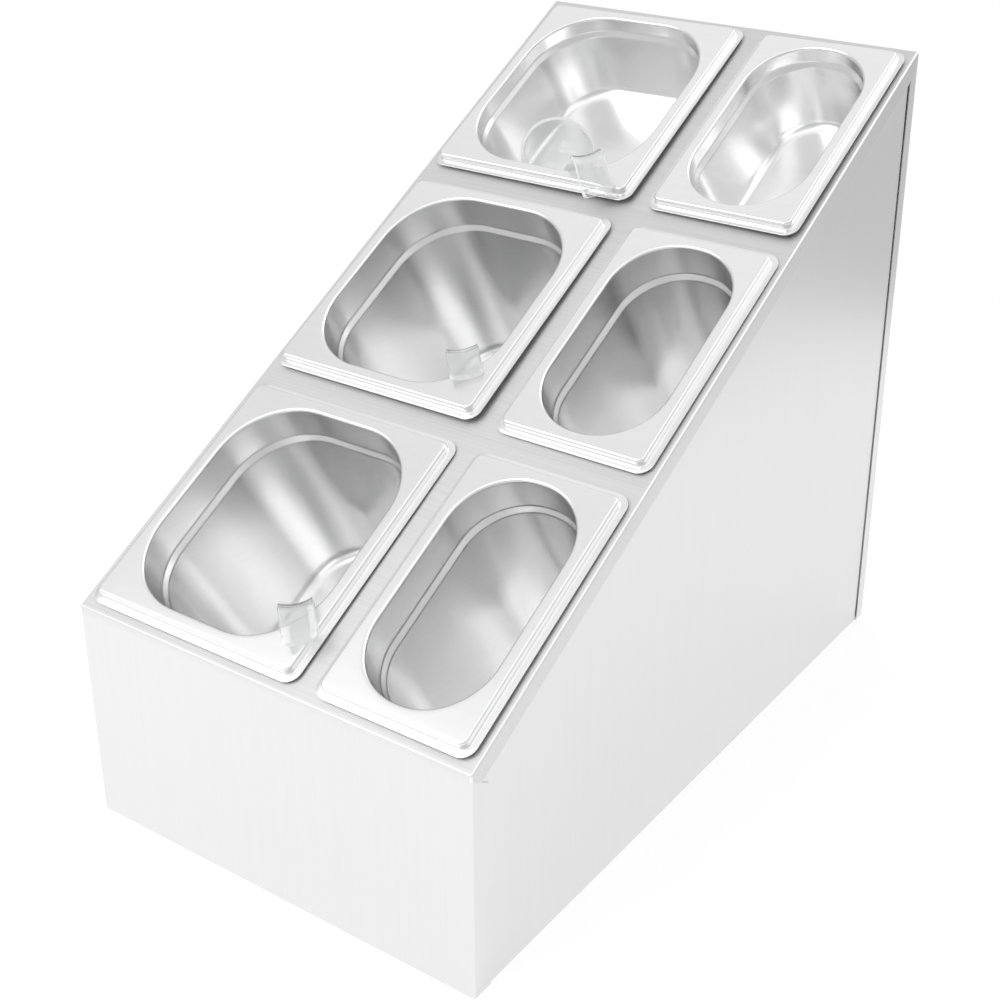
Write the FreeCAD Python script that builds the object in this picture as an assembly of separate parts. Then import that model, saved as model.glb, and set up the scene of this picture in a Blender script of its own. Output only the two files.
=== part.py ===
import FreeCAD, Part
import math
import os
from FreeCAD import Placement, Rotation
from FreeCAD import Vector as V

# A slanted countertop stand that holds two columns of lift-out pans, with ladles.
# Millimetres. X runs right, Y runs back, Z runs up. Origin at the bottom centre.

# stand: sheet metal
sheet = 1.0
front_height = 148.0
deck_slope = 30.0
edge_radius = 1.5
lip_drop = 4.0
front_flange = 15.0
deck_flange = 12.0
back_flange = 10.0
base_return = 12.0
rear_return = 8.0
seam = 0.2
back_slit = 1.5

# layout of the pans on the deck
side_margin = 4.5
column_gap = 13.0
front_margin = 5.5
row_gap = 15.5
rear_margin = 7.1

# pans: outer rim sizes
pan_length = 176.0
large_width = 162.0
small_width = 108.0

# pans: pressed sheet and rim
pan_sheet = 0.8
lip_width = 4.5
lip_radius = 9.0
lip_bend = 1.0
rim_height = 6.0
rim_width = 12.5
rim_edge_radius = 1.5
mouth_radius = 2.0
large_corner = 48.0
small_corner = 40.0

# pans: walls below the mouth
ledge_step = 2.5
ledge_drop = 3.8
ledge_radius = 3.0
floor_radius = 8.0
deep_depth = 140.0
deep_ledge = 24.0
deep_taper = 4.0
shallow_depth = 59.5
shallow_ledge = 11.0
shallow_taper = 12.0

# fit of a pan in the deck
pan_rest = 0.3
cut_gap = 3.0

# ladles
bowl_radius = 27.0
ladle_wall = 2.2
handle_width = 20.5
handle_length = 80.0
hook_radius = 5.0
hook_turn = 96.0
flap_length = 21.5
bead_length = 4.5
bead_extra = 1.3
flap_corner = 2.5

# how far the near right corner of each pan rides up
large_lifts = {"front": 1.0, "middle": 3.0, "rear": 3.0}
small_lifts = {"front": 1.5, "middle": 1.0, "rear": 2.5}

# where each ladle hooks: offset of the hook's bend from the pan's near right corner,
# then its heading, lean and roll in degrees
ladle_seats = {
    "front": (V(-21.5, 36.7, 6.3), -139.2, -15.4, 93.1),
    "middle": (V(-32.3, 39.4, 4.7), -108.3, -12.7, 59.2),
    "rear": (V(-31.2, 10.7, 19.2), -25.6, 40.0, -20.0),
}

# sizes that follow from the values above
rows = ["front", "middle", "rear"]
slope = math.radians(deck_slope)
body_width = 2 * side_margin + large_width + column_gap + small_width
slope_length = front_margin + 3 * pan_length + 2 * row_gap + rear_margin
body_depth = slope_length * math.cos(slope)
back_height = front_height + slope_length * math.sin(slope)
half_width = body_width / 2
front_y = -body_depth / 2
back_y = body_depth / 2
large_left = -half_width + side_margin
small_left = large_left + large_width + column_gap
deck_place = Placement(V(0, front_y, front_height), Rotation(V(1, 0, 0), deck_slope))


def row_start(row):
    return front_margin + rows.index(row) * (pan_length + row_gap)


def on_slope(along, above):
    """Y and Z of a point given along the slope and above the deck's top face."""
    y = front_y + along * math.cos(slope) - above * math.sin(slope)
    z = front_height + along * math.sin(slope) + above * math.cos(slope)
    return (y, z)


def side_prism(outline, low, high):
    """Solid with the given Y and Z outline between two X planes."""
    points = [V(low, y, z) for y, z in outline]
    face = Part.Face(Part.makePolygon(points + points[:1]))
    return face.extrude(V(high - low, 0, 0))


def block(low, high):
    return Part.makeBox(high.x - low.x, high.y - low.y, high.z - low.z, low)


def join(pieces):
    return pieces[0].multiFuse(pieces[1:]).removeSplitter()


def rounded_rect(width, length, radius, z):
    """Closed wire round a rectangle centred on the origin."""
    across = width / 2 - radius
    along = length / 2 - radius
    edges = []
    for turn in range(4):
        spin = Rotation(V(0, 0, 1), 90 * turn)
        reach = (across, along) if turn % 2 == 0 else (along, across)
        centre = V(reach[0], reach[1], z)
        arc = Part.Arc(
            centre + V(radius, 0, 0),
            centre + V(radius * math.cos(math.pi / 4), radius * math.sin(math.pi / 4), 0),
            centre + V(0, radius, 0),
        ).toShape()
        line = Part.makeLine(centre + V(0, radius, 0), V(-reach[0], reach[1] + radius, z))
        for edge in (arc, line):
            edge.Placement = Placement(V(), spin)
            edges.append(edge)
    return Part.Wire(edges)


def bent_strip(points, radii, thickness):
    """Face of a bent sheet seen edge on: a line with rounded corners, given thickness."""
    edges = []
    start = points[0]
    for before, corner, after, radius in zip(points, points[1:], points[2:], radii):
        back = (before - corner).normalize()
        ahead = (after - corner).normalize()
        half = back.getAngle(ahead) / 2
        first = corner + back * (radius / math.tan(half))
        last = corner + ahead * (radius / math.tan(half))
        inward = (back + ahead).normalize()
        middle = corner + inward * (radius / math.sin(half) - radius)
        edges.append(Part.makeLine(start, first))
        edges.append(Part.Arc(first, middle, last).toShape())
        start = last
    edges.append(Part.makeLine(start, points[-1]))
    return Part.Wire(edges).makeOffset2D(thickness, 0, True, True, False)


def sweep_round(strip, width, length, radius):
    """Carry an edge-on strip round a rounded rectangle; its X counts from the corner centre."""
    across = width / 2 - radius
    along = length / 2 - radius
    pieces = []
    for turn in range(4):
        spin = Rotation(V(0, 0, 1), 90 * turn)
        reach = (across, along) if turn % 2 == 0 else (along, across)
        centre = V(reach[0], reach[1], 0)
        corner = strip.revolve(V(), V(0, 0, 1), 90)
        side = strip.copy()
        side.rotate(V(), V(0, 0, 1), 90)
        side = side.extrude(V(-2 * reach[0], 0, 0))
        for piece in (corner, side):
            piece.translate(centre)
            piece.rotate(V(), V(0, 0, 1), 90 * turn)
            pieces.append(piece)
    return pieces


def ring_plate(outer, inner, thickness):
    """Flat plate between two wires, with its top face in their plane."""
    face = Part.makeFace([outer, inner], "Part::FaceMakerBullseye")
    return face.extrude(V(0, 0, -thickness))


def make_pan(width, corner, depth, ledge, taper):
    """Pressed pan centred on the origin, with the underside of its lip at Z 0."""
    mouth_width = width - 2 * rim_width
    mouth_length = pan_length - 2 * rim_width
    flat = (rim_width - lip_width) / 2
    floor_z = rim_height - depth
    ledge_z = rim_height - ledge - ledge_drop
    foot = corner - ledge_step - (ledge_z - floor_z) * math.tan(math.radians(taper))
    floor_edge = foot - 2 * floor_radius
    wall = bent_strip(
        [
            V(corner + flat, 0, rim_height),
            V(corner, 0, rim_height),
            V(corner, 0, rim_height - ledge),
            V(corner - ledge_step, 0, ledge_z),
            V(foot, 0, floor_z),
            V(floor_edge, 0, floor_z),
        ],
        [mouth_radius, ledge_radius, ledge_radius, floor_radius],
        pan_sheet,
    )
    rim_inset = lip_width + (rim_width - lip_width) / 3
    rim = bent_strip(
        [
            V(lip_radius - rim_inset, 0, rim_height),
            V(lip_radius - lip_width, 0, rim_height),
            V(lip_radius - lip_width, 0, pan_sheet),
            V(lip_radius, 0, pan_sheet),
        ],
        [rim_edge_radius, lip_bend],
        -pan_sheet,
    )
    pieces = sweep_round(wall, mouth_width, mouth_length, corner)
    pieces += sweep_round(rim, width, pan_length, lip_radius)
    outer = rounded_rect(width - 2 * rim_inset, pan_length - 2 * rim_inset,
                         lip_radius - rim_inset, rim_height)
    inner = rounded_rect(mouth_width + 2 * flat, mouth_length + 2 * flat, corner + flat, rim_height)
    pieces.append(ring_plate(outer, inner, pan_sheet))
    shrink = corner - floor_edge
    floor = Part.Face(rounded_rect(mouth_width - 2 * shrink, mouth_length - 2 * shrink,
                                   floor_edge, floor_z))
    pieces.append(floor.extrude(V(0, 0, -pan_sheet)))
    return join(pieces)


def pan_place(left, width, row, lift):
    """Seat of a pan: its far left corner rests on the deck and the near right corner rides up."""
    rise = V(-lift / (2 * width), lift / (2 * pan_length), 1)
    tilt = Rotation(V(0, 0, 1), rise)
    centre = V(left + width / 2, row_start(row) + pan_length / 2, pan_rest)
    return deck_place.multiply(Placement(centre, tilt, V(-width / 2, pan_length / 2, 0)))


def make_deck():
    """Slanted top sheet with turned-down edges and a cut-out for every pan."""
    reach = (deck_flange - lip_drop * math.cos(slope)) / math.cos(slope)
    near = -lip_drop * math.sin(slope)
    far = slope_length - lip_drop * math.sin(slope)
    outline = [
        on_slope(0, 0),
        on_slope(slope_length, 0),
        on_slope(far, -lip_drop * math.cos(slope)),
        on_slope(far - reach * (1 + math.sin(slope)), -deck_flange),
        on_slope(near + reach * (1 - math.sin(slope)), -deck_flange),
        on_slope(near, -lip_drop * math.cos(slope)),
    ]
    cap = side_prism(outline, -half_width, half_width)
    cap = cap.makeFillet(edge_radius, [e for e in cap.Edges if on_deck_edge(e)])
    under = front_height + sheet * math.tan(slope) - sheet / math.cos(slope)
    run = body_depth - 2 * sheet
    hollow = [
        (front_y + sheet, under),
        (back_y - sheet, under + run * math.tan(slope)),
        (back_y - sheet, 0),
        (front_y + sheet, 0),
    ]
    cap = cap.cut(side_prism(hollow, -half_width + sheet, half_width - sheet))
    for row in rows:
        for left, width, corner in ((large_left, large_width, large_corner),
                                    (small_left, small_width, small_corner)):
            cap = cap.cut(make_cutter(left, width, corner, row))
    return cap


def on_deck_edge(edge):
    """True for the outer edges that bound the deck's top face and its front and back corners."""
    ends = [deck_place.inverse().multVec(v.Point) for v in edge.Vertexes]
    if all(abs(p.z) < seam for p in ends):
        return True
    upright = all(abs(p.z) < lip_drop and abs(abs(p.x) - half_width) < seam for p in ends)
    return upright and abs(edge.Length - lip_drop) < seam


def make_cutter(left, width, corner, row):
    """Plug that opens the deck round one pan's wall."""
    grow = 2 * (pan_sheet + cut_gap - rim_width)
    wire = rounded_rect(width + grow, pan_length + grow, corner + pan_sheet + cut_gap, -deck_flange)
    plug = Part.Face(wire).extrude(V(0, 0, 2 * deck_flange))
    plug.Placement = deck_place.multiply(
        Placement(V(left + width / 2, row_start(row) + pan_length / 2, 0), Rotation()))
    return plug


def round_uprights(solid, y):
    """Round the two outer vertical corners that stand at the given Y."""
    edges = []
    for edge in solid.Edges:
        ends = [v.Point for v in edge.Vertexes]
        outside = all(abs(p.y - y) < seam and abs(abs(p.x) - half_width) < seam for p in ends)
        if outside and ends[0].x * ends[1].x > 0:
            edges.append(edge)
    return solid.makeFillet(edge_radius, edges)


def make_front_panel():
    top = front_height - lip_drop
    drop = front_flange * (1 - math.sin(slope)) / math.cos(slope)
    inner_y = front_y + front_flange
    outline = [(front_y, 0), (front_y, top), (inner_y, top - drop), (inner_y, 0)]
    shell = round_uprights(side_prism(outline, -half_width, half_width), front_y)
    shell = shell.cut(block(V(-half_width + sheet, front_y + sheet, -sheet),
                            V(half_width - sheet, inner_y + sheet, front_height)))
    reach = half_width - 2 * sheet - seam
    foot = block(V(-reach, front_y + sheet, 0), V(reach, front_y + base_return, sheet))
    return join([shell, foot])


def make_back_panel():
    top = back_height - lip_drop
    drop = back_flange * (1 + math.sin(slope)) / math.cos(slope)
    inner_y = back_y - back_flange
    outline = [(back_y, 0), (back_y, top), (inner_y, top - drop), (inner_y, 0)]
    shell = round_uprights(side_prism(outline, -half_width, half_width), back_y)
    shell = shell.cut(block(V(-half_width + sheet, inner_y - sheet, -sheet),
                            V(half_width - sheet, back_y - sheet, back_height)))
    reach = half_width - 2 * sheet - seam
    foot = block(V(-reach, inner_y, 0), V(reach, back_y - sheet, sheet))
    return join([shell, foot])


def make_side_panel(side):
    """Flat cheek inside the flanges, with a turned-in foot and rear edge. Side is -1 or 1."""
    near = front_y + sheet
    far = back_y - back_flange - back_slit
    under = front_height - sheet / math.cos(slope)
    top = [(near, under + (near - front_y) * math.tan(slope)),
           (far, under + (far - front_y) * math.tan(slope))]
    outside = half_width - sheet
    inside = outside - sheet
    cheek = side_prism([(near, 0)] + top + [(far, 0)], inside, outside)
    bend_top = under + (far - sheet - front_y) * math.tan(slope)
    bend = block(V(inside - rear_return, far - sheet, 0), V(inside, far, bend_top))
    foot = block(V(inside - base_return, front_y + base_return + seam, 0), V(inside, far, sheet))
    panel = join([cheek, bend, foot])
    if side < 0:
        panel = panel.mirror(V(), V(1, 0, 0))
    return panel


def handle_section(inner, outer):
    """Flat face across the handle: an arc of the bowl's own wall."""
    half = math.asin(handle_width / (2 * bowl_radius))
    centre = V(-bowl_radius - hook_radius, 0, 0)

    def at(radius, angle):
        return centre + V(radius * math.cos(angle), radius * math.sin(angle), 0)

    return Part.Face(Part.Wire([
        Part.Arc(at(outer, -half), at(outer, 0), at(outer, half)).toShape(),
        Part.makeLine(at(outer, half), at(inner, half)),
        Part.Arc(at(inner, half), at(inner, 0), at(inner, -half)).toShape(),
        Part.makeLine(at(inner, -half), at(outer, -half)),
    ]))


def make_ladle():
    """Ladle with its hook's bend centred on the origin and its handle hanging down."""
    inner = bowl_radius - ladle_wall
    section = handle_section(inner, bowl_radius)
    handle = section.extrude(V(0, 0, -handle_length))
    bend = section.revolve(V(), V(0, 1, 0), hook_turn)
    turn = math.radians(hook_turn)
    ahead = V(math.sin(turn), 0, math.cos(turn))
    end = section.copy()
    end.rotate(V(), V(0, 1, 0), hook_turn)
    flap = end.extrude(ahead * (flap_length - bead_length))
    thick = handle_section(inner - bead_extra, bowl_radius)
    thick.rotate(V(), V(0, 1, 0), hook_turn)
    thick.translate(ahead * (flap_length - bead_length))
    bead = thick.extrude(ahead * bead_length)
    middle = flap_length - bead_length / 2
    tips = [e for e in bead.Edges if e.Length < handle_width / 2
            and min(v.Point.dot(ahead) for v in e.Vertexes) > middle]
    bead = bead.makeFillet(flap_corner, tips)
    centre = V(-bowl_radius - hook_radius, 0, -handle_length)
    bowl = Part.makeSphere(bowl_radius, centre, V(0, 0, 1), -90, 0)
    bowl = bowl.cut(Part.makeSphere(inner, centre))
    return join([handle, bend, flap, bead, bowl])


def ladle_place(row):
    offset, heading, lean, roll = ladle_seats[row]
    corner = V(large_left + large_width, row_start(row), 0)
    turn = Rotation(V(0, 0, 1), heading)
    turn = turn.multiply(Rotation(V(0, 1, 0), lean)).multiply(Rotation(V(0, 0, 1), roll))
    return deck_place.multiply(Placement(corner + offset, turn))


def placed(shape, place):
    copy = shape.copy()
    copy.Placement = place.multiply(copy.Placement)
    return copy


def build():
    parts = {
        "front_panel": make_front_panel(),
        "deck": make_deck(),
        "back_panel": make_back_panel(),
        "left_side_panel": make_side_panel(-1),
        "right_side_panel": make_side_panel(1),
    }
    deep = (deep_depth, deep_ledge, deep_taper)
    shallow = (shallow_depth, shallow_ledge, shallow_taper)
    large = {False: make_pan(large_width, large_corner, *deep),
             True: make_pan(large_width, large_corner, *shallow)}
    small = {False: make_pan(small_width, small_corner, *deep),
             True: make_pan(small_width, small_corner, *shallow)}
    ladle = make_ladle()
    for row in rows:
        is_shallow = row == "rear"
        parts[row + "_large_pan"] = placed(
            large[is_shallow], pan_place(large_left, large_width, row, large_lifts[row]))
        parts[row + "_small_pan"] = placed(
            small[is_shallow], pan_place(small_left, small_width, row, small_lifts[row]))
        parts[row + "_ladle"] = placed(ladle, ladle_place(row))
    return parts


os.makedirs("parts", exist_ok=True)
for name, shape in build().items():
    box = shape.BoundBox
    print(name, shape.ShapeType, len(shape.Solids), shape.isValid(), round(shape.Volume, 1),
          [round(v, 1) for v in (box.XMin, box.XMax, box.YMin, box.YMax, box.ZMin, box.ZMax)])
    shape.exportStep("parts/" + name + ".step")
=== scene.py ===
import math
import bmesh
import bpy
from mathutils import Matrix, Vector


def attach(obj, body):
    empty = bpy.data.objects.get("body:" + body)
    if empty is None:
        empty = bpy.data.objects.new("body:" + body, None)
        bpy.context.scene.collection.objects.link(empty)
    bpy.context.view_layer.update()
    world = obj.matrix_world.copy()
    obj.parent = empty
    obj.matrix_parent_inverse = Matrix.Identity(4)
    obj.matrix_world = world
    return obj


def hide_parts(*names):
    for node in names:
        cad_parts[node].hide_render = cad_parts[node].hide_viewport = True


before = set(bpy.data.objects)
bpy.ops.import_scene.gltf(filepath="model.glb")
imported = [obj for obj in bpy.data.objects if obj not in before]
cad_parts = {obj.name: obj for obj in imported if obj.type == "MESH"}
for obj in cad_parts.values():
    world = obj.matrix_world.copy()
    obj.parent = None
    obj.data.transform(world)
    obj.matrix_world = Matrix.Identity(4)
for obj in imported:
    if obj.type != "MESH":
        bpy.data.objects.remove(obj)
scene = bpy.context.scene
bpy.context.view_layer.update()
print("frame loaded")

# shared layout of the sloping deck, metres and degrees
layout = {
    "frontY": -0.24751,
    "frontHeight": 0.148,
    "slope": 30.0,
    "largeLeft": -0.1415,
    "smallLeft": 0.0335,
    "rowStart": {"front": 0.0055, "middle": 0.197, "rear": 0.3885},
    "panLength": 0.176,
    "largeWidth": 0.162,
    "smallWidth": 0.108,
}
deckPlace = Matrix.Translation((0, layout["frontY"], layout["frontHeight"]))
deckPlace = deckPlace @ Matrix.Rotation(math.radians(layout["slope"]), 4, "X")
samePoint = 1e-6  # points closer than this are one

# what all the finishes share
finishValues = {
    "noiseSpan": (0.3, 0.7),  # the part of a noise's range that is used
    "grainDetail": 4.0,
    "cloudDetail": 3.0,
    "hazeDetail": 2.0,
    "grainHeight": 0.0002,
    "coatRoughness": 0.04,
    "coatBending": 1.7,
}


# materials
def newMaterial(name):
    material = bpy.data.materials.new(name)
    material.use_nodes = True
    nodes = material.node_tree.nodes
    return material, nodes, material.node_tree.links, nodes["Principled BSDF"]


def addNoise(nodes, links, coords, tilt, stretch, scale, detail):
    mapping = nodes.new("ShaderNodeMapping")
    mapping.inputs["Rotation"].default_value = (math.radians(tilt), 0, 0)
    mapping.inputs["Scale"].default_value = stretch
    links.new(coords, mapping.inputs["Vector"])
    noise = nodes.new("ShaderNodeTexNoise")
    noise.inputs["Scale"].default_value = scale
    noise.inputs["Detail"].default_value = detail
    links.new(mapping.outputs["Vector"], noise.inputs["Vector"])
    return noise.outputs["Fac"]


def addRange(nodes, links, source, taken, given, blend="LINEAR"):
    # maps the span taken from the source onto the span given
    spread = nodes.new("ShaderNodeMapRange")
    spread.interpolation_type = blend
    sockets = ("From Min", "From Max", "To Min", "To Max")
    for socket, value in zip(sockets, (*taken, *given)):
        spread.inputs[socket].default_value = value
    links.new(source, spread.inputs["Value"])
    return spread.outputs["Result"]


def addMath(nodes, links, operation, *sources):
    step = nodes.new("ShaderNodeMath")
    step.operation = operation
    for index, source in enumerate(sources):
        links.new(source, step.inputs[index])
    return step.outputs["Value"]


def addBlend(nodes, links, factor, first, second):
    # mixes two tones, each a colour or another node's output
    blend = nodes.new("ShaderNodeMix")
    blend.data_type = "RGBA"
    links.new(factor, blend.inputs["Factor"])
    for socket, tone in (("A", first), ("B", second)):
        if isinstance(tone, tuple):
            blend.inputs[socket].default_value = (*tone, 1)
        else:
            links.new(tone, blend.inputs[socket])
    return blend.outputs["Result"]


def addPaintedEdgeHighlights(nodes, links, coords, tone, edges):
    # painted highlights: the turned-down front is lighter than the brushed top, and a near-white line runs
    # along the middle of the two side bends
    split = nodes.new("ShaderNodeSeparateXYZ")
    links.new(coords, split.inputs["Vector"])
    front = addRange(nodes, links, split.outputs["Y"], edges["front"], (0, 1))
    tone = addBlend(nodes, links, front, tone, edges["frontHighlight"])
    across = addMath(nodes, links, "ABSOLUTE", split.outputs["X"])
    inner = addRange(nodes, links, across, edges["bendStart"], (0, 1))
    outer = addRange(nodes, links, across, edges["bendEnd"], (0, 1))
    bend = addMath(nodes, links, "MULTIPLY", inner, outer)
    return addBlend(nodes, links, bend, tone, edges["bendHighlight"])


def makeSteel(name, values):
    f = finishValues
    material, nodes, links, shader = newMaterial(name)
    coords = nodes.new("ShaderNodeTexCoord").outputs["Object"]
    grain = addNoise(nodes, links, coords, values["grainTilt"], values["grainStretch"], 1.0,
                     f["grainDetail"])
    cloud = addNoise(nodes, links, coords, 0.0, (1, 1, 1), values["cloudScale"], f["cloudDetail"])
    streak = addRange(nodes, links, grain, f["noiseSpan"], (0, 1))
    tone = addBlend(nodes, links, streak, values["dark"], values["light"])
    # painted highlights on the deck's front bend and side bends
    if "edges" in values:
        tone = addPaintedEdgeHighlights(nodes, links, coords, tone, values["edges"])
    links.new(tone, shader.inputs["Base Color"])
    gloss = addRange(nodes, links, cloud, f["noiseSpan"], (values["smooth"], values["rough"]))
    links.new(gloss, shader.inputs["Roughness"])
    bump = nodes.new("ShaderNodeBump")
    bump.inputs["Strength"].default_value = values["grainDepth"]
    bump.inputs["Distance"].default_value = f["grainHeight"]
    links.new(grain, bump.inputs["Height"])
    links.new(bump.outputs["Normal"], shader.inputs["Normal"])
    shader.inputs["Metallic"].default_value = 1.0
    if "across" in values:  # brushed: reflections spread across the grain
        spread = nodes.new("ShaderNodeCombineXYZ")
        for axis, amount in zip("XYZ", values["across"]):
            spread.inputs[axis].default_value = amount
        links.new(spread.outputs["Vector"], shader.inputs["Tangent"])
        shader.inputs["Anisotropic"].default_value = values["brushing"]
    return material


steelValues = {
    "deckSteel": {
        "dark": (0.69, 0.69, 0.69), "light": (0.75, 0.75, 0.75), "smooth": 0.48, "rough": 0.54,
        "grainTilt": -30.0, "grainStretch": (6, 900, 900), "grainDepth": 0.07, "cloudScale": 14.0,
        "across": (0, 0.866, 0.5), "brushing": 0.4,
        # painted highlights: a lighter band on the front bend and a near-white line in each side bend
        "edges": {"front": (-0.2455, -0.2472), "frontHighlight": (0.80, 0.80, 0.80),
                  "bendStart": (0.1446, 0.1450), "bendEnd": (0.1460, 0.1456),
                  "bendHighlight": (0.97, 0.97, 0.97)}},
    "panelSteel": {
        "dark": (0.755, 0.755, 0.755), "light": (0.77, 0.77, 0.77), "smooth": 0.32, "rough": 0.35,
        "grainTilt": 0.0, "grainStretch": (900, 900, 6), "grainDepth": 0.008, "cloudScale": 9.0},
    "panSteel": {
        "dark": (0.92, 0.92, 0.92), "light": (0.94, 0.94, 0.94), "smooth": 0.28, "rough": 0.31,
        "grainTilt": -30.0, "grainStretch": (40, 40, 600), "grainDepth": 0.02, "cloudScale": 22.0},
    "brightSteel": {
        "dark": (0.90, 0.90, 0.90), "light": (0.92, 0.92, 0.92), "smooth": 0.24, "rough": 0.27,
        "grainTilt": -30.0, "grainStretch": (40, 40, 600), "grainDepth": 0.02, "cloudScale": 22.0},
}
steels = {name: makeSteel(name, values) for name, values in steelValues.items()}


def makePlastic(name, values):
    f = finishValues
    material, nodes, links, shader = newMaterial(name)
    coords = nodes.new("ShaderNodeTexCoord").outputs["Object"]
    haze = addNoise(nodes, links, coords, 0.0, (1, 1, 1), values["hazeScale"], f["hazeDetail"])
    gloss = addRange(nodes, links, haze, f["noiseSpan"], (values["smooth"], values["rough"]))
    links.new(gloss, shader.inputs["Roughness"])
    shader.inputs["Base Color"].default_value = (*values["tint"], 1)
    shader.inputs["Transmission Weight"].default_value = values["clear"]
    shader.inputs["IOR"].default_value = values["bending"]
    shader.inputs["Coat Weight"].default_value = 1.0
    shader.inputs["Coat Roughness"].default_value = f["coatRoughness"]
    shader.inputs["Coat IOR"].default_value = f["coatBending"]
    return material


plasticValues = {
    "clearPlastic": {
        "tint": (0.985, 0.99, 0.99), "clear": 0.80, "bending": 1.18,
        "smooth": 0.03, "rough": 0.08, "hazeScale": 60.0},
    "plasticEdgeHighlight": {  # painted highlight: the narrow edges are made milky white so they look lit
        "tint": (0.99, 0.99, 0.99), "clear": 0.12, "bending": 1.18,
        "smooth": 0.20, "rough": 0.30, "hazeScale": 60.0},
}
plastics = {name: makePlastic(name, values) for name, values in plasticValues.items()}
print("materials made")


# shape helpers
def addChain(bm, points, bends):
    # a bent line in the XZ plane, given as corners with a radius and a segment count each
    verts = [bm.verts.new((x, 0, z)) for x, z in points]
    for first, second in zip(verts, verts[1:]):
        bm.edges.new((first, second))
    spots = [vert.co.copy() for vert in verts]
    for index, (radius, segments) in enumerate(bends, 1):
        half = (spots[index - 1] - spots[index]).angle(spots[index + 1] - spots[index]) / 2
        bmesh.ops.bevel(bm, geom=[verts[index]], offset=radius / math.tan(half), offset_type="OFFSET",
                        affect="VERTICES", segments=segments, profile=0.5, material=-1)


def sweepRound(bm, width, length, radius, cornerSteps, sideSteps):
    # carries every edge in the mesh round a rounded rectangle, from its right side
    across, along = width / 2 - radius, length / 2 - radius
    bmesh.ops.translate(bm, verts=bm.verts, vec=(across, along, 0))
    last = bm.verts[:] + bm.edges[:]
    stops = [((across, along), (-1, 0), across), ((-across, along), (0, -1), along),
             ((-across, -along), (1, 0), across), ((across, -along), (0, 1), along)]
    for (x, y), (stepX, stepY), reach in stops:
        last = bmesh.ops.spin(bm, geom=last, cent=(x, y, 0), axis=(0, 0, 1), angle=math.pi / 2,
                              steps=cornerSteps)["geom_last"]
        step = Vector((stepX, stepY, 0)) * 2 * reach / sideSteps
        last = bmesh.ops.spin(bm, geom=last, cent=(0, 0, 0), axis=(0, 0, 1), angle=0.0, dvec=step,
                              steps=sideSteps)["geom_last"]
    bmesh.ops.remove_doubles(bm, verts=bm.verts, dist=samePoint)


def openEdges(bm, z):
    edges = [edge for edge in bm.edges if edge.is_boundary]
    return [edge for edge in edges if all(abs(vert.co.z - z) < samePoint for vert in edge.verts)]


def addPiece(bm, name, node, place, material):
    bmesh.ops.transform(bm, matrix=place, verts=bm.verts)
    mesh = bpy.data.meshes.new(name)
    bm.to_mesh(mesh)
    bm.free()
    mesh.shade_smooth()
    mesh.materials.append(material)
    piece = bpy.data.objects.new(name, mesh)
    scene.collection.objects.link(piece)
    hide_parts(node)
    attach(piece, node + "_body")
    return piece


# pans; each bend has a radius and a segment count
panValues = {
    "sheet": 0.0008, "lipWidth": 0.0045, "lipRadius": 0.009, "lipBend": (0.001, 3),
    "rimHeight": 0.006, "rimWidth": 0.0125, "rimEdge": (0.0015, 5), "mouthEdge": (0.002, 6),
    "largeCorner": 0.048, "smallCorner": 0.040,
    "ledgeStep": 0.0025, "ledgeDrop": 0.0038, "ledgeBend": (0.003, 4), "floorBend": (0.008, 8),
    "deep": (0.140, 0.024, 4.0), "shallow": (0.0595, 0.011, 12.0),  # depth, ledge, taper
    "cornerSteps": 20, "sideSteps": 4, "rest": 0.0003,
    "largeLifts": {"front": 0.001, "middle": 0.003, "rear": 0.003},
    "smallLifts": {"front": 0.0015, "middle": 0.001, "rear": 0.0025},
}


def makePan(width, corner, depth, ledge, taper):
    # pressed sheet centred on the origin, underside of its lip at Z 0
    v = panValues
    length, top, lipEnd = layout["panLength"], v["rimHeight"], v["lipRadius"]
    plateau = v["rimWidth"] - v["lipWidth"]
    floorZ, ledgeZ = top - depth, top - ledge - v["ledgeDrop"]
    foot = corner - v["ledgeStep"] - (ledgeZ - floorZ) * math.tan(math.radians(taper))
    floorEnd = foot - 2 * v["floorBend"][0]
    wall = bmesh.new()
    addChain(wall, [(corner + plateau / 2, top), (corner, top), (corner, top - ledge),
                    (corner - v["ledgeStep"], ledgeZ), (foot, floorZ), (floorEnd, floorZ)],
             [v["mouthEdge"], v["ledgeBend"], v["ledgeBend"], v["floorBend"]])
    sweepRound(wall, width - 2 * v["rimWidth"], length - 2 * v["rimWidth"], corner,
               v["cornerSteps"], v["sideSteps"])
    rim = bmesh.new()
    inset = v["lipWidth"] + plateau / 3
    addChain(rim, [(lipEnd - inset, top), (lipEnd - v["lipWidth"], top),
                   (lipEnd - v["lipWidth"], v["sheet"]), (lipEnd, v["sheet"])],
             [v["rimEdge"], v["lipBend"]])
    sweepRound(rim, width, length, lipEnd, v["cornerSteps"], v["sideSteps"])
    wallMesh = bpy.data.meshes.new("wall")
    wall.to_mesh(wallMesh)
    rim.from_mesh(wallMesh)
    wall.free()
    bpy.data.meshes.remove(wallMesh)
    bmesh.ops.triangle_fill(rim, use_beauty=True, edges=openEdges(rim, top), normal=(0, 0, 1))
    bmesh.ops.edgeloop_fill(rim, edges=openEdges(rim, floorZ))
    bmesh.ops.recalc_face_normals(rim, faces=rim.faces)
    bottom = min(rim.faces, key=lambda face: face.calc_center_median().z)
    if bottom.normal.z < 0:
        bmesh.ops.reverse_faces(rim, faces=rim.faces)
    return rim


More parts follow.
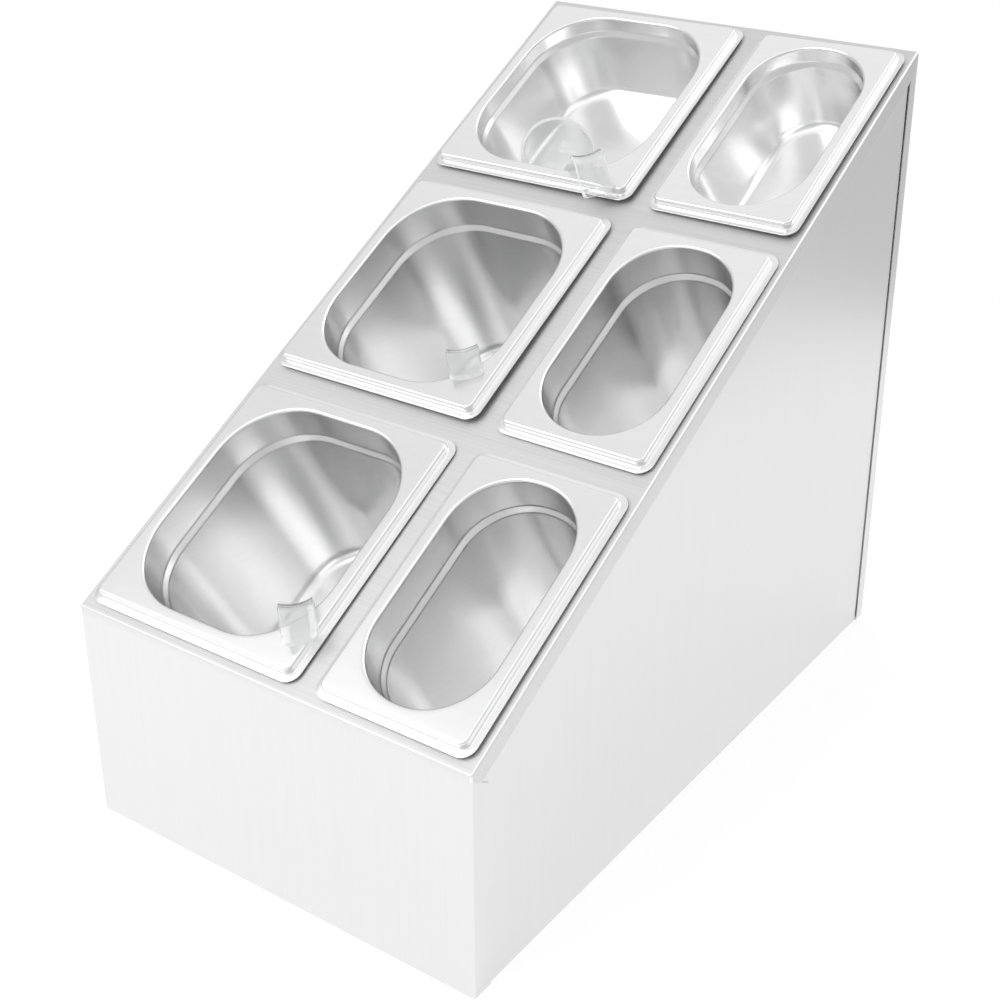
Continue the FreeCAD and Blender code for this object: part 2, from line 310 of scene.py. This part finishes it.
def panPlace(left, width, row, lift):
    # the far left corner rests on the deck and the near right corner rides up
    length = layout["panLength"]
    rise = Vector((-lift / (2 * width), lift / (2 * length), 1))
    pivot = Vector((-width / 2, length / 2, 0))
    tilt = Vector((0, 0, 1)).rotation_difference(rise).to_matrix().to_4x4()
    centre = Vector((left + width / 2, layout["rowStart"][row] + length / 2, panValues["rest"]))
    return deckPlace @ Matrix.Translation(centre + pivot) @ tilt @ Matrix.Translation(-pivot)


for row in layout["rowStart"]:
    for size in ("large", "small"):
        width, corner = layout[size + "Width"], panValues[size + "Corner"]
        shape = makePan(width, corner, *panValues["shallow" if row == "rear" else "deep"])
        place = panPlace(layout[size + "Left"], width, row, panValues[size + "Lifts"][row])
        steel = steels["brightSteel" if row == "rear" else "panSteel"]
        pan = addPiece(shape, f"{row}_{size}_pan_shell", f"{row}_{size}_pan", place, steel)
        thicken = pan.modifiers.new("thickness", "SOLIDIFY")
        thicken.thickness = panValues["sheet"]
        thicken.offset = -1.0
        pan.modifiers.new("normals", "WEIGHTED_NORMAL")
print("pans made")


# ladles; a seat is an offset from the pan's near right corner, then heading, lean and roll
ladleValues = {
    "bowlRadius": 0.027, "wall": 0.0022, "bowlSteps": 16, "rimSteps": 64,
    "handleLength": 0.080, "handleSteps": 8, "handleSpan": 4,  # rim steps to each side
    "hookRadius": 0.005, "hookTurn": 96.0, "hookSteps": 16,
    "flapLength": 0.0215, "flapCorner": 0.0025, "flapSteps": 5,
    "beadLength": 0.0045, "beadExtra": 0.0013, "beadRamp": 0.0012,
    "edge": 0.0005, "edgeSteps": 2, "edgeAngle": 40.0,
    "seats": {"front": ((-0.0215, 0.0367, 0.0063), -139.2, -15.4, 93.1),
              "middle": ((-0.0323, 0.0394, 0.0047), -108.3, -12.7, 59.2),
              "rear": ((-0.0312, 0.0107, 0.0192), -25.6, 40.0, -20.0)},
}


def makeLadle():
    # the hook's bend is centred on the origin and the handle hangs down
    v = ladleValues
    bm = bmesh.new()
    axisX = -v["bowlRadius"] - v["hookRadius"]
    pole = bm.verts.new((axisX, 0, -v["handleLength"] - v["bowlRadius"]))
    bmesh.ops.spin(bm, geom=[pole], cent=(axisX, 0, -v["handleLength"]), axis=(0, -1, 0),
                   angle=math.pi / 2, steps=v["bowlSteps"])
    bmesh.ops.spin(bm, geom=bm.verts[:] + bm.edges[:], cent=(axisX, 0, 0), axis=(0, 0, 1),
                   angle=2 * math.pi, steps=v["rimSteps"], use_merge=True)
    bmesh.ops.remove_doubles(bm, verts=bm.verts, dist=samePoint)
    half = (v["handleSpan"] + 0.5) * 2 * math.pi / v["rimSteps"]
    rim = [e for e in bm.edges if e.is_boundary and all(
        abs(math.atan2(p.co.y, p.co.x - axisX)) < half for p in e.verts)]
    strip = rim + list({p for e in rim for p in e.verts})
    step = (0, 0, v["handleLength"] / v["handleSteps"])
    strip = bmesh.ops.spin(bm, geom=strip, cent=(0, 0, 0), axis=(0, 0, 1), angle=0.0, dvec=step,
                           steps=v["handleSteps"])["geom_last"]
    turn = math.radians(v["hookTurn"])
    strip = bmesh.ops.spin(bm, geom=strip, cent=(0, 0, 0), axis=(0, 1, 0), angle=turn,
                           steps=v["hookSteps"])["geom_last"]
    ahead = Vector((math.sin(turn), 0, math.cos(turn)))
    thin = v["flapLength"] - v["beadLength"] - v["beadRamp"]
    for reach in (thin, v["beadRamp"], v["beadLength"]):
        strip = bmesh.ops.spin(bm, geom=strip, cent=(0, 0, 0), axis=(0, 0, 1), angle=0.0,
                               dvec=ahead * reach, steps=1)["geom_last"]
    tips = [p for p in strip if isinstance(p, bmesh.types.BMVert) and len(p.link_edges) == 2]
    bmesh.ops.bevel(bm, geom=tips, offset=v["flapCorner"], offset_type="OFFSET", affect="VERTICES",
                    segments=v["flapSteps"], profile=0.5, material=-1)
    bmesh.ops.recalc_face_normals(bm, faces=bm.faces)
    weights = bm.verts.layers.deform.verify()
    for p in bm.verts:
        p[weights][0] = 1.0 if p.co.dot(ahead) > thin + v["beadRamp"] / 2 else 0.0
    return bm


for row, (offset, heading, lean, roll) in ladleValues["seats"].items():
    nearRight = Vector((layout["largeLeft"] + layout["largeWidth"], layout["rowStart"][row], 0))
    place = deckPlace @ Matrix.Translation(nearRight + Vector(offset))
    for angle, axis in ((heading, "Z"), (lean, "Y"), (roll, "Z")):
        place = place @ Matrix.Rotation(math.radians(angle), 4, axis)
    ladle = addPiece(makeLadle(), row + "_ladle_shell", row + "_ladle", place, plastics["clearPlastic"])
    # painted highlight: the rims and rounded edges get the milky white edge plastic
    ladle.data.materials.append(plastics["plasticEdgeHighlight"])
    thicken = ladle.modifiers.new("thickness", "SOLIDIFY")
    thicken.material_offset_rim = 1
    thicken.thickness = ladleValues["wall"] + ladleValues["beadExtra"]
    thicken.offset = -1.0
    thicken.vertex_group = ladle.vertex_groups.new(name="bead").name  # only the flap's end is this thick
    thicken.thickness_vertex_group = ladleValues["wall"] / thicken.thickness
    soften = ladle.modifiers.new("edges", "BEVEL")
    soften.width = ladleValues["edge"]
    soften.material = 1
    soften.segments = ladleValues["edgeSteps"]
    soften.limit_method = "ANGLE"
    soften.angle_limit = math.radians(ladleValues["edgeAngle"])
    ladle.modifiers.new("normals", "WEIGHTED_NORMAL")
print("ladles made")

# the stand keeps its flat CAD sheets
for name in ("front_panel", "deck", "back_panel", "left_side_panel", "right_side_panel"):
    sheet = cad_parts[name]
    sheet.data.materials.clear()
    sheet.data.materials.append(steels["deckSteel" if name == "deck" else "panelSteel"])
print("stand dressed")

# floor, light and camera; a patch has a direction, a spread and an amount, a lamp a place, a size and a power
stageValues = {
    "floorSize": 0.95, "floorSegments": 96, "floorRoughness": 0.9, "floorGlow": 0.35,
    "floorColor": (0.9, 0.9, 0.9),
    "roomLight": 0.8, "horizon": 0.56, "ceiling": 0.72, "gradeSpan": (0.1, 0.8),
    "patches": {"frontLow": ((-0.5, -0.76, 0.42), 0.85, 0.43),
                "topFront": ((0.0, -0.5, 0.866), 0.85, 0.40),
                "rightTop": ((0.6, -0.1, 0.79), 0.85, 0.51),
                "topBack": ((-0.45, 0.3, 0.84), 0.9, 0.20),
                "backRight": ((0.35, 0.55, 0.76), 0.85, 1.2),
                "lowBack": ((0.5, 0.76, -0.25), 0.8, 0.12)},
    "lamps": {"keyBox": ((-1.0, -1.5, 1.5), 1.6, 10.7)},
    "lampAim": (0, 0, 0.25),
}


def makeFloor():
    v = stageValues
    bm = bmesh.new()
    bmesh.ops.create_circle(bm, cap_ends=True, segments=v["floorSegments"], radius=v["floorSize"])
    mesh = bpy.data.meshes.new("floor")
    bm.to_mesh(mesh)
    bm.free()
    floor = bpy.data.objects.new("floor", mesh)
    scene.collection.objects.link(floor)
    material, _, _, shader = newMaterial("floorPaper")
    shader.inputs["Base Color"].default_value = (*v["floorColor"], 1)
    shader.inputs["Roughness"].default_value = v["floorRoughness"]
    shader.inputs["Emission Color"].default_value = (1, 1, 1, 1)
    shader.inputs["Emission Strength"].default_value = v["floorGlow"]
    mesh.materials.append(material)


def addPatch(nodes, links, direction, start, aim, spread, amount):
    # brightens the part of the room that lies along one direction
    along = nodes.new("ShaderNodeVectorMath")
    along.operation = "DOT_PRODUCT"
    along.inputs[1].default_value = Vector(aim).normalized()
    links.new(direction, along.inputs[0])
    patch = addRange(nodes, links, along.outputs["Value"], (spread, 1), (0, amount), "SMOOTHSTEP")
    return addMath(nodes, links, "ADD", start, patch)


def makeRoom():
    # white to the camera, graded in metal and plastic, even for all other light
    v = stageValues
    world = bpy.data.worlds.new("studio")
    world.use_nodes = True
    scene.world = world
    nodes, links = world.node_tree.nodes, world.node_tree.links
    room = nodes["Background"]
    room.inputs["Color"].default_value = (1, 1, 1, 1)
    room.inputs["Strength"].default_value = v["roomLight"]
    direction = nodes.new("ShaderNodeTexCoord").outputs["Generated"]
    split = nodes.new("ShaderNodeSeparateXYZ")
    links.new(direction, split.inputs["Vector"])
    glow = addRange(nodes, links, split.outputs["Z"], v["gradeSpan"], (v["horizon"], v["ceiling"]))
    for aim, spread, amount in v["patches"].values():
        glow = addPatch(nodes, links, direction, glow, aim, spread, amount)
    path = nodes.new("ShaderNodeLightPath")
    seen = path.outputs["Is Camera Ray"]
    shine = addMath(nodes, links, "MAXIMUM", path.outputs["Is Glossy Ray"],
                    path.outputs["Is Transmission Ray"])
    paper = nodes.new("ShaderNodeBackground")
    paper.inputs["Color"].default_value = (1, 1, 1, 1)
    links.new(addMath(nodes, links, "MAXIMUM", glow, seen), paper.inputs["Strength"])
    choose = nodes.new("ShaderNodeMixShader")
    links.new(addMath(nodes, links, "MAXIMUM", shine, seen), choose.inputs["Fac"])
    links.new(room.outputs["Background"], choose.inputs[1])
    links.new(paper.outputs["Background"], choose.inputs[2])
    links.new(choose.outputs["Shader"], nodes["World Output"].inputs["Surface"])


def makeLamps():
    for name, (spot, size, power) in stageValues["lamps"].items():
        data = bpy.data.lights.new(name, "AREA")
        data.size = size
        data.energy = power
        lamp = bpy.data.objects.new(name, data)
        scene.collection.objects.link(lamp)
        lamp.location = spot
        aim = Vector(stageValues["lampAim"]) - Vector(spot)
        lamp.rotation_mode = "QUATERNION"
        lamp.rotation_quaternion = aim.to_track_quat("-Z", "Y")


makeFloor()
makeRoom()
makeLamps()
cameraValues = {
    "place": (0.56466, -0.78953, 0.65747),
    "forward": (-0.49639, 0.76044, -0.41873),
    "right": (0.83264, 0.55352, 0.01815),
    "sensor": 36.0, "lens": 59.217, "shiftX": -0.0857, "shiftY": -0.0698,
}
cameraData = bpy.data.cameras.new("camera")
cameraData.sensor_width = cameraValues["sensor"]
cameraData.lens = cameraValues["lens"]
cameraData.shift_x = cameraValues["shiftX"]
cameraData.shift_y = cameraValues["shiftY"]
camera = bpy.data.objects.new("camera", cameraData)
scene.collection.objects.link(camera)
forward = Vector(cameraValues["forward"]).normalized()
right = Vector(cameraValues["right"]).normalized()
up = right.cross(forward)
cameraTurn = Matrix((right, up, -forward)).transposed().to_4x4()
camera.matrix_world = Matrix.Translation(cameraValues["place"]) @ cameraTurn
scene.camera = camera
scene.view_settings.view_transform = "Standard"
print("stage set")
